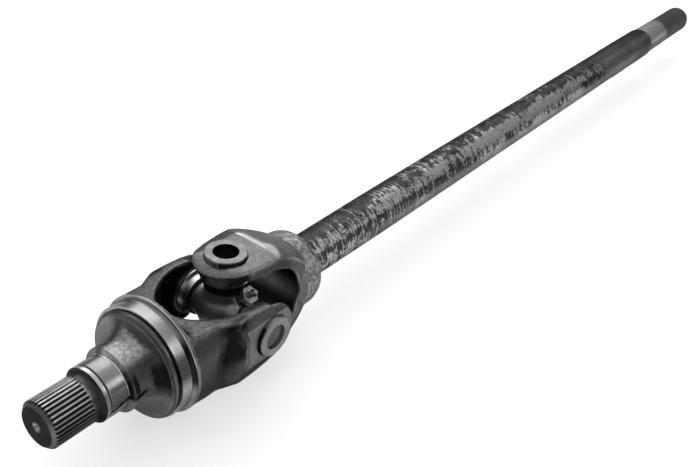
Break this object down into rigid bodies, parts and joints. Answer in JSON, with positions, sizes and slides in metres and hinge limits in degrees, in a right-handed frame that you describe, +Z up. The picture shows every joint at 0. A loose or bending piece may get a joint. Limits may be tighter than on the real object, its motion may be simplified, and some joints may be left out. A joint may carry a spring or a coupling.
{
  "type": "axle shaft",
  "caption": "Front-axle drive shaft: a long forged inner shaft and a short splined hub stub, coupled by a cross joint so that the wheel can steer while it is driven",
  "frame": {"origin": "centre of the hub end face of the stub, on the shaft axis", "axes": "+X runs along the shaft from the hub end to the differential end, +Z is up, along the trunnions held by the inner shaft's yoke, and -Y faces the camera's side"},
  "size_m": [1.2868, 0.1106, 0.1106],
  "materials": {
    "forged_steel": "dark forged steel with turned and ground journals",
    "cap_steel": "ground bearing steel",
    "plated_steel": "bright steel",
    "seal_rubber": "black moulded rubber"
  },
  "bodies": {
    "inner_shaft": {"inner_axle_shaft": "forged_steel", "upper_bearing_cap": "cap_steel", "upper_needle_rollers": "plated_steel", "upper_cap_seal": "seal_rubber", "upper_snap_ring": "plated_steel", "lower_bearing_cap": "cap_steel", "lower_needle_rollers": "plated_steel", "lower_cap_seal": "seal_rubber", "lower_snap_ring": "plated_steel"},
    "cross": {"joint_cross": "forged_steel", "grease_nipple": "plated_steel"},
    "hub_stub": {"outer_stub_shaft": "forged_steel", "near_bearing_cap": "cap_steel", "near_needle_rollers": "plated_steel", "near_cap_seal": "seal_rubber", "near_snap_ring": "plated_steel", "far_bearing_cap": "cap_steel", "far_needle_rollers": "plated_steel", "far_cap_seal": "seal_rubber", "far_snap_ring": "plated_steel"}
  },
  "joints": [
    {"name": "cross_in_inner_yoke", "type": "hinge", "parent": "inner_shaft", "child": "cross", "pos_m": [0.1842, 0, 0], "axis": [0, 0, 1], "range_deg": [-30, 30]},
    {"name": "stub_on_cross", "type": "hinge", "parent": "cross", "child": "hub_stub", "pos_m": [0.1842, 0, 0], "axis": [0, 1, 0], "range_deg": [-30, 30]}
  ]
}
